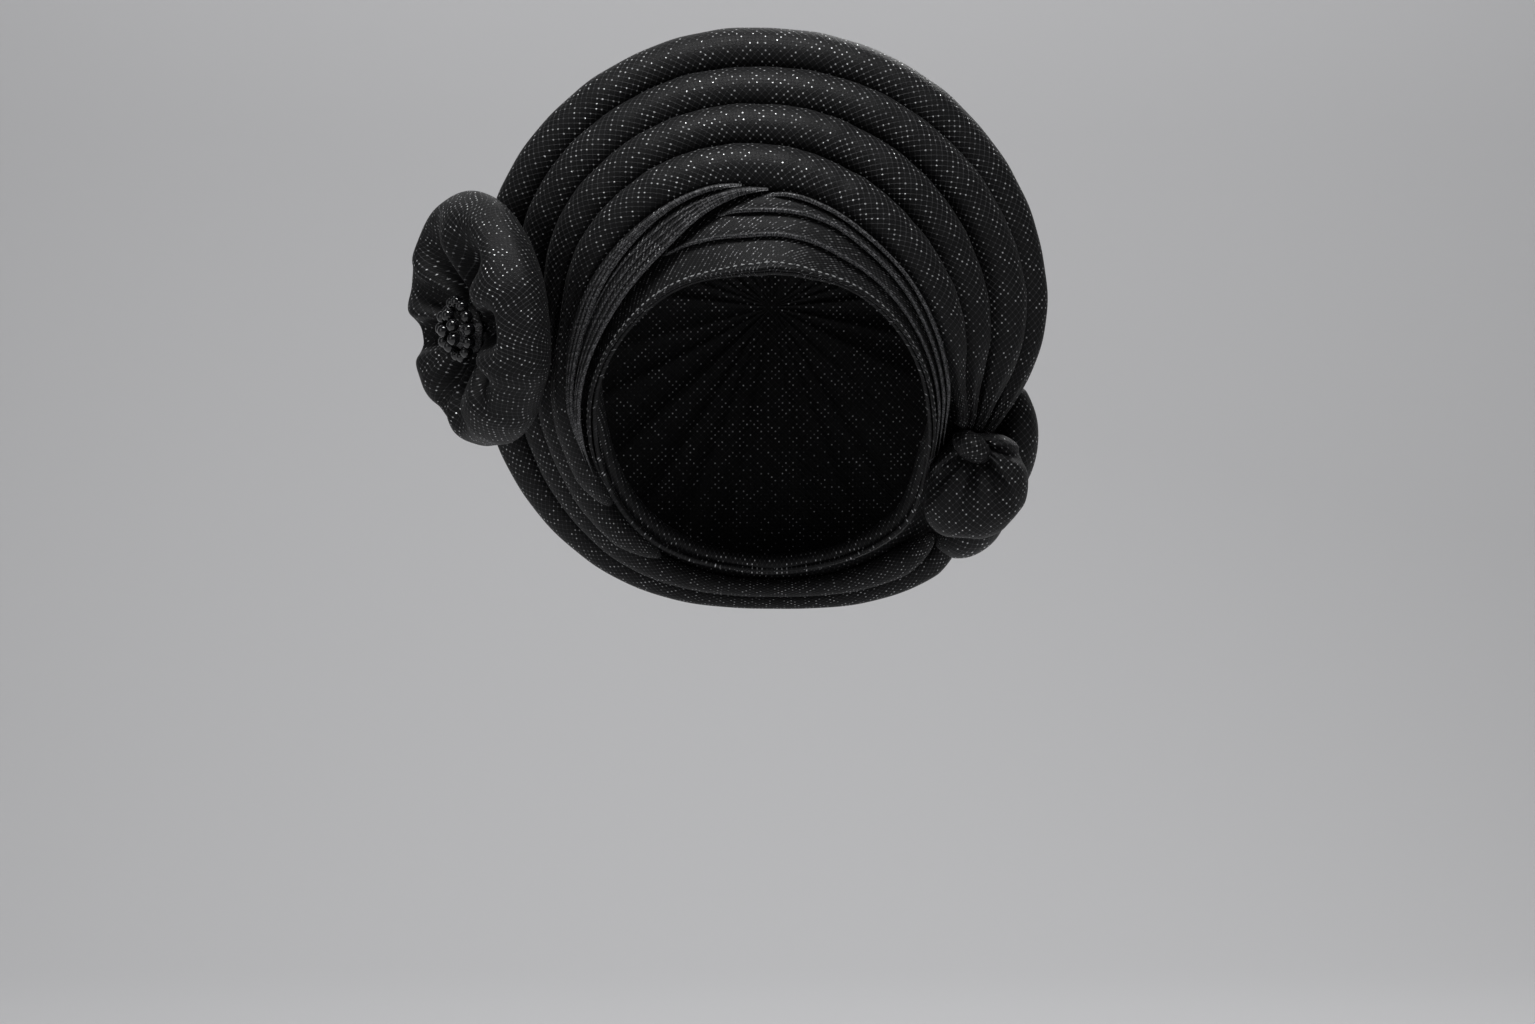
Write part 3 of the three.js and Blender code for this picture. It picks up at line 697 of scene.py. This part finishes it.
def make_pleat(spec, material):
    """One pleat, and its flat width and length in metres."""
    name, level, lower, tucks = spec
    start, end = lower[0][0], lower[-1][0]
    angles = np.linspace(start, end, int((end - start) * PLEAT_RINGS_PER_DEGREE) + 1)
    hem, foot, out = band_line(angles)
    span = np.linalg.norm(foot - hem, axis=1)
    layer = level[0] + (level[1] - level[0]) * (angles - start) / (end - start)
    top = PLEAT_FIRST + PLEAT_PER_LEVEL * layer
    edge = np.minimum(through(*zip(*lower), angles), top - PLEAT_LEAST)
    low = LAYER - CLOTH + layer * LAYER
    way, lift, across = pleat_profile((top - edge) * span, low, tucks)
    full = smooth(np.minimum(angles - start, end - angles), *PLEAT_TAPER)[:, None]
    lift = low[:, None] + full * (lift - low[:, None]) - PLEAT_DIVE * (1 - full)
    share = edge[:, None] + way / span[:, None]
    flat = hem[:, None] + share[..., None] * (foot - hem)[:, None] + lift[..., None] * out[:, None]
    rings = fan_points(angles[:, None], flat)
    along = lengths(rings[:, :PLEAT_FACE]).mean(1)
    # The brow band's cloth is shifted so that the painted fold highlight stays off its hem
    if name == "brow_band":
        across = across + HEM_CLEAR
    uv = np.stack([np.broadcast_to(along[:, None], across.shape), across], -1)
    piece = loft(name, rings, uv, material)
    length = float(along[-1]) * MM
    return piece, (round(cut_width(piece, length), 4), round(length, 3))


def make_pleats(material, stitches):
    """The pleats as sheets of cloth. The stitches passed in are not used."""
    made = [make_pleat(spec, material) for spec in PLEATS]


def stitch_faces(first, rows, count):
    """The sides and the two flat ends of a stitch whose points start at first."""
    faces = []
    for row in range(rows - 1):
        low, high = first + row * count, first + (row + 1) * count
        for k in range(count):
            after = (k + 1) % count
            faces.append((low + k, low + after, high + after, high + k))
    last = first + (rows - 1) * count
    faces.append(tuple(first + k for k in reversed(range(count))))
    faces.append(tuple(last + k for k in range(count)))
    return faces


def make_hem_stitches(material):
    """A row of short stitches just above the hem of the brow band."""
    angles = np.linspace(*HEM_STITCH["angles"], HEM_STITCH["steps"])
    hem, foot, out = band_line(angles)
    flat = hem + HEM_STITCH["share"] * (foot - hem) + out * (LAYER + HEM_STITCH["proud"])
    line = fan_points(angles, flat)
    away = fan_points(angles, flat + out) - line
    way = lengths(line)
    rows, sides = HEM_STITCH["rings"], HEM_STITCH["sides"]
    turn = circle(sides)[None, :, None]
    shares = np.linspace(0, 1, rows)
    size = HEM_STITCH["radius"] * np.sqrt(np.clip(1 - (2 * shares - 1) ** 2, HEM_STITCH["tip"], 1))
    bodies, faces = [], []
    for start in np.arange(0, way[-1] - HEM_STITCH["length"], HEM_STITCH["pitch"]):
        at = start + shares * HEM_STITCH["length"]
        spot = np.stack([np.interp(at, way, line[:, k]) for k in range(3)], 1)
        up = np.stack([np.interp(at, way, away[:, k]) for k in range(3)], 1)
        side = np.cross(np.gradient(spot, axis=0), up)
        side /= np.linalg.norm(side, axis=1, keepdims=True)
        ring = np.cos(turn) * side[:, None] + np.sin(turn) * up[:, None]
        faces += stitch_faces(len(bodies) * rows * sides, rows, sides)
        bodies.append((spot[:, None] + size[:, None, None] * ring).reshape(-1, 3))
    return new_piece("hem_stitches", np.concatenate(bodies), faces, material)


# Crown
def crown_gathers(angles):
    """Rounded folds with narrow creases between them, deeper in some places than in others."""
    stray = CROWN_WANDER * ripple(angles, CROWN_UNEVEN, CROWN_WANDER_SEED)
    swing = np.radians(CROWN_FOLDS / 2 * angles) + stray
    least, more = CROWN_VARY
    vary = least + more * ripple(angles, CROWN_UNEVEN, CROWN_VARY_SEED)
    return (np.abs(np.sin(swing)) ** CROWN_ROUND - CROWN_MEAN) * vary


def crown_section(angles):
    """The crown's outer wall by section: up behind the pleats, round under the rolls and over the back."""
    _, radius, middles = stack(angles)
    hem, foot, _ = band_line(angles)
    front, rim = middles[-1], middles[0]
    climb = rim - front
    inward = np.arctan2(climb[:, 0], -climb[:, 1])
    far = np.linalg.norm(climb, axis=1)
    sags = [-(np.cross(mid - front, climb)) / far for mid in middles]
    seat = (radius + GAP + np.max(sags, 0))[:, None]
    points = [hem + share * (foot - hem) for share in np.linspace(0, CROWN_REACH, CROWN_ROWS["band"])]
    for share in np.linspace(0, 1, CROWN_ROWS["front"]):
        points.append(front + seat * heading(FRONT_TURN + share * (inward - FRONT_TURN)))
    for share in np.linspace(0, 1, CROWN_ROWS["rim"])[:-1]:
        points.append(rim + seat * heading(inward + share * (CREST_TURN - inward)))
    crest = rim + seat * heading(CREST_TURN)
    power = 2 / DOME_POWER
    for turn in np.linspace(0, math.pi / 2, CROWN_ROWS["dome"])[:-1]:
        fold = CROWN_FOLD_DEPTH * math.sin(2 * turn) * crown_gathers(angles)
        reach = crest[:, 0] * math.cos(turn) ** power + fold * math.cos(turn)
        depth = crest[:, 1] + (CROWN_BACK - crest[:, 1]) * math.sin(turn) ** power + fold * math.sin(turn)
        points.append(np.stack([reach, depth], -1))
    return np.stack(points, 1)


def inside(section, distance):
    """The section moved into the hollow."""
    run = np.gradient(section, axis=1)
    run /= np.linalg.norm(run, axis=2, keepdims=True)
    return section + distance * np.stack([-run[..., 1], run[..., 0]], -1)


def make_crown(material):
    """The hollow wall of doubled cloth, gathered to the middle of its back."""
    angles = np.linspace(0, 360, CROWN_COLUMNS, endpoint=False)
    outer = crown_section(angles)
    walls = np.concatenate([outer[:, ::-1], inside(outer, CROWN_WALL)], 1)
    rings = fan_points(angles[:, None], walls).transpose(1, 0, 2)
    piece = loft("crown", rings, crown_map(rings), material)


# Puffs
def placed(points, place):
    """Points built about Z, faced to the front, turned to their side and set in place."""
    x, y, z = points[..., 0], -points[..., 2], points[..., 1]
    x, y = spun(x, y, -math.radians(place["turn"]))
    x, z = spun(x, z, math.radians(place["lean"]))
    return np.stack([x + place["x"], y + place["y"], z + place["z"]], -1)


def puff_angles(puff):
    return np.linspace(-180, 180, puff["columns"], endpoint=False)


def ruffle(puff, section, reach):
    """A gathered puff: rings of points by angle, with valleys that run out from the gather."""
    angles = puff_angles(puff)
    valley, notch = np.zeros_like(angles), np.zeros_like(angles)
    for at, depth, width, rim in puff["folds"]:
        felt = np.exp(-((turn_from(at, angles) / width) ** VALLEY_POWER))
        valley += depth * felt
        notch += rim * felt
    share, height, folded = (column[:, None] for column in section.T)
    fine = puff["gather"] * np.cos(np.radians(GATHER_FOLDS * angles))
    fine = fine * np.exp(-((share / GATHER_REACH) ** 2)) * smooth(share, *GATHER_START)
    lift = height - folded * valley + fine
    far = share * reach - notch * smooth(share, *NOTCH_START)
    turn = np.radians(angles)
    return np.stack([far * np.cos(turn), far * np.sin(turn), lift], -1)


def swell(piece, held):
    """Lets a puff's cloth swell over its filling, with the points in held kept where they are sewn."""
    rest = np.array([vertex.co for vertex in piece.data.vertices])
    group = piece.vertex_groups.new(name="sewn")
    group.add(held, 1.0, "REPLACE")
    cloth = piece.modifiers.new("cloth", "CLOTH")
    for key, value in PUFF_CLOTH.items():
        setattr(cloth.settings, key, value)
    cloth.settings.vertex_group_mass = group.name
    cloth.settings.effector_weights.gravity = 0
    cloth.collision_settings.use_collision = False
    cloth.point_cache.frame_start = 1
    cloth.point_cache.frame_end = PUFF_FRAMES
    scene = bpy.context.scene
    for moment in range(1, PUFF_FRAMES + 1):
        scene.frame_set(moment)
    seen = piece.evaluated_get(bpy.context.evaluated_depsgraph_get())
    step = np.array([vertex.co for vertex in seen.data.vertices]) - rest
    piece.modifiers.remove(cloth)
    piece.vertex_groups.remove(group)
    size = np.linalg.norm(step, axis=1, keepdims=True)
    most = PUFF_MOST * MM
    step *= most * np.tanh(size / most) / np.maximum(size, LEAST_STEP)
    piece.data.vertices.foreach_set("co", (rest + step).ravel())
    piece.data.update()
    scene.frame_set(1)


def make_puff(node, puff, reach, material):
    """A padded puff of gathered cloth, sewn down at its middle and its back."""
    section = resampled(puff["section"], puff["rows"])
    rings = placed(ruffle(puff, section, reach), puff["place"])
    piece = loft(node, rings, disc_map(rings), material)
    sewn = (section[:, 0] < puff["sewn_within"]) | (section[:, 1] < puff["sewn_below"])
    end_points = [True, True]
    held = np.flatnonzero(np.concatenate([np.repeat(sewn, puff["columns"]), end_points])).tolist()
    swell(piece, held)
    smoothing = piece.modifiers.new("smoothing", "SUBSURF")
    smoothing.levels = 1
    smoothing.render_levels = 1


def make_rosette(material):
    reach = ROSETTE_RADIUS + ROSETTE_LIFT * np.sin(np.radians(puff_angles(ROSETTE)))
    make_puff("rosette", ROSETTE, reach, material)


def make_tail_puff(material):
    at, far = zip(*TAIL_REACH)
    make_puff("tail_puff", TAIL_PUFF, through(at, far, puff_angles(TAIL_PUFF)), material)


# Tail rolls, knot and beads
def make_tail_roll(name, path, material):
    """A short padded roll along a path, deeper than it is wide, wrinkled towards its lower end."""
    path = np.array(path, float)
    way = lengths(path[:, :3])
    where = np.linspace(0, way[-1], TAIL_ROLL["rings"])
    line = np.stack([through(way, path[:, k], where) for k in range(3)], 1)
    closing = np.minimum(where, way[-1] - where) / TAIL_ROLL["close"]
    size = (through(way, path[:, 3], where) * np.sqrt(np.clip(closing, TAIL_ROLL["tip"], 1)))[:, None]
    back = np.array([0, 1, 0])
    across = np.cross(np.gradient(line, axis=0), back)
    across /= np.linalg.norm(across, axis=1, keepdims=True)
    turn = circle(TAIL_ROLL["sides"])
    creased = smooth(where, way[-1] * TAIL_ROLL["creased_from"], way[-1])[:, None]
    wrinkle = 1 - TAIL_ROLL["crease"] * wave(TAIL_ROLL["creases"] * turn)[None] * creased
    side = (size * np.cos(turn) * wrinkle)[..., None] * across[:, None]
    deep = (TAIL_ROLL["depth"] * size * np.sin(turn) * wrinkle)[..., None] * back
    rings = line[:, None] + side + deep
    piece = loft(name, rings, tube_map(rings, ROLL_DIAMONDS * WEAVE), material)


def make_knot(material):
    """The creased bulge where the rolls are drawn together."""
    polar = np.linspace(KNOT["tip"], math.pi - KNOT["tip"], KNOT["rings"])[:, None]
    turn = circle(KNOT["sides"])
    creased = wave(KNOT["creases"] * turn)[None] * np.sin(polar) ** KNOT["crease_power"]
    crease = 1 - KNOT["crease"] * creased
    along, out, back = KNOT["half"]
    x = out * np.sin(polar) * np.cos(turn) * crease
    y = back * np.sin(polar) * np.sin(turn) * crease
    z = along * np.cos(polar) * np.ones_like(turn)
    x, z = spun(x, z, math.radians(KNOT["angle"]))
    spot = np.array([[KNOT["radius"], KNOT["depth"]]], float)
    rings = np.stack([x, y, z], -1) + fan_points(np.array([KNOT["angle"]]), spot)[0]
    piece = loft("side_knot", rings, tube_map(rings, ROLL_DIAMONDS * WEAVE), material)


def make_button(material):
    """The dome that carries the beads."""
    polar = np.linspace(BUTTON["tip"], math.pi / 2, BUTTON["rings"])
    height = BUTTON["base"] + BUTTON["radius"] * np.cos(polar)
    dome = lathe(BUTTON["radius"] * np.sin(polar), height, BUTTON["sides"])
    rings = placed(dome, ROSETTE["place"])
    piece = loft("bead_button", rings, disc_map(rings), material)


def bead_middles():
    """The beads' middles over the button, ring by ring."""
    for polar, count in BEAD_PLACES:
        tip = math.radians(polar)
        for k in range(count):
            turn = (k + 0.5) / count * 2 * math.pi
            side = math.sin(tip)
            yield BEAD_REACH * np.array([side * math.sin(turn), side * math.cos(turn), math.cos(tip)])


def make_beads(material):
    """Round beads with a thread hole each, set over the button in rings."""
    hole = np.linspace(BEAD_HOLE_FLOOR, 1, BEAD_HOLE_RINGS + 1)[:-1] * BEAD_HOLE
    depth = np.linspace(*BEAD_HOLE_DEPTHS, BEAD_HOLE_RINGS) * BEAD_RADIUS
    mouth = BEAD_HOLE / BEAD_RADIUS
    polar = np.linspace(mouth, math.pi - mouth, BEAD_BALL_RINGS)
    radius = np.concatenate([hole, BEAD_RADIUS * np.sin(polar), hole[::-1]])
    height = np.concatenate([depth, BEAD_RADIUS * np.cos(polar), -depth[::-1]])
    bead = lathe(radius, height, BEAD_SIDES)
    for count, middle in enumerate(bead_middles(), 1):
        # The hole lies along the button's surface, so that it doesn't face out.
        lay = Vector(middle).orthogonal().to_track_quat("Z", "Y").to_matrix()
        rings = placed(bead @ np.array(lay).T + middle + (0, 0, BUTTON["base"]), ROSETTE["place"])
        uv = tube_map(rings, 2 * math.pi * BEAD_RADIUS)
        loft(f"rosette_bead_{count}", rings, uv, material)


# Camera and studio
def make_camera():
    data = bpy.data.cameras.new("camera")
    data.sensor_width = SENSOR
    data.lens = SENSOR * VIEW_DISTANCE / (IMAGE_WIDTH * MM_PER_PIXEL)
    camera = linked("camera", data)
    camera.location = Vector((0, VIEW_DEPTH - VIEW_DISTANCE, VIEW_HEIGHT)) * MM
    camera.rotation_euler = (math.pi / 2, 0, 0)
    bpy.context.scene.camera = camera


def make_light(name, place, aim, size, power):
    data = bpy.data.lights.new(name, "AREA")
    data.shape = "RECTANGLE"
    data.size, data.size_y = size
    data.energy = power
    light = linked(name, data)
    light.location = place
    light.rotation_euler = (Vector(aim) - Vector(place)).to_track_quat("-Z", "Y").to_euler()


def make_floor():
    """A pale floor that sweeps up into a backdrop."""
    low, bend, back = FLOOR["height"], FLOOR["bend"], FLOOR["bend_from"]
    turns = np.linspace(0, math.pi / 2, FLOOR_BEND_STEPS)
    sweep = [(back + bend * math.sin(turn), low + bend * (1 - math.cos(turn))) for turn in turns]
    profile = [(FLOOR["front"], low), *sweep, (back + bend, low + FLOOR["wall"])]
    points = [(x, y, z) for y, z in profile for x in (-FLOOR["half_width"], FLOOR["half_width"])]
    faces = [(2 * i, 2 * i + 1, 2 * i + 3, 2 * i + 2) for i in range(len(profile) - 1)]
    mesh = bpy.data.meshes.new("floor")
    mesh.from_pydata(points, [], faces)
    mesh.shade_smooth()
    mesh.materials.append(new_material("paper", PAPER)[0])
    linked("floor", mesh)


def make_studio():
    """The floor, soft light from above and in front, and an even sky."""
    make_floor()
    for light in LIGHTS:
        make_light(*light)
    world = bpy.data.worlds.new("studio")
    bpy.context.scene.world = world
    world.use_nodes = True
    for key, value in SKY.items():
        world.node_tree.nodes["Background"].inputs[key].default_value = value
    bpy.context.scene.view_settings.view_transform = "Standard"


make_camera()
make_studio()

roll_cloth = cloth_material("roll_cloth", **ROLL_CLOTH)
flat_cloth = cloth_material("flat_cloth", **FLAT_CLOTH)
black_bead = speckled_material("black_bead", **BEAD_LOOK)
hem_thread = speckled_material("hem_thread", **THREAD_LOOK)

make_crown(roll_cloth)
for index in range(len(ROLLS)):
    make_roll(index, roll_cloth)
make_pleats(flat_cloth, make_hem_stitches(hem_thread))
make_knot(roll_cloth)
make_tail_puff(roll_cloth)
for name, path in TAIL_ROLLS.items():
    make_tail_roll(name, path, roll_cloth)
make_rosette(roll_cloth)
make_button(flat_cloth)
make_beads(black_bead)
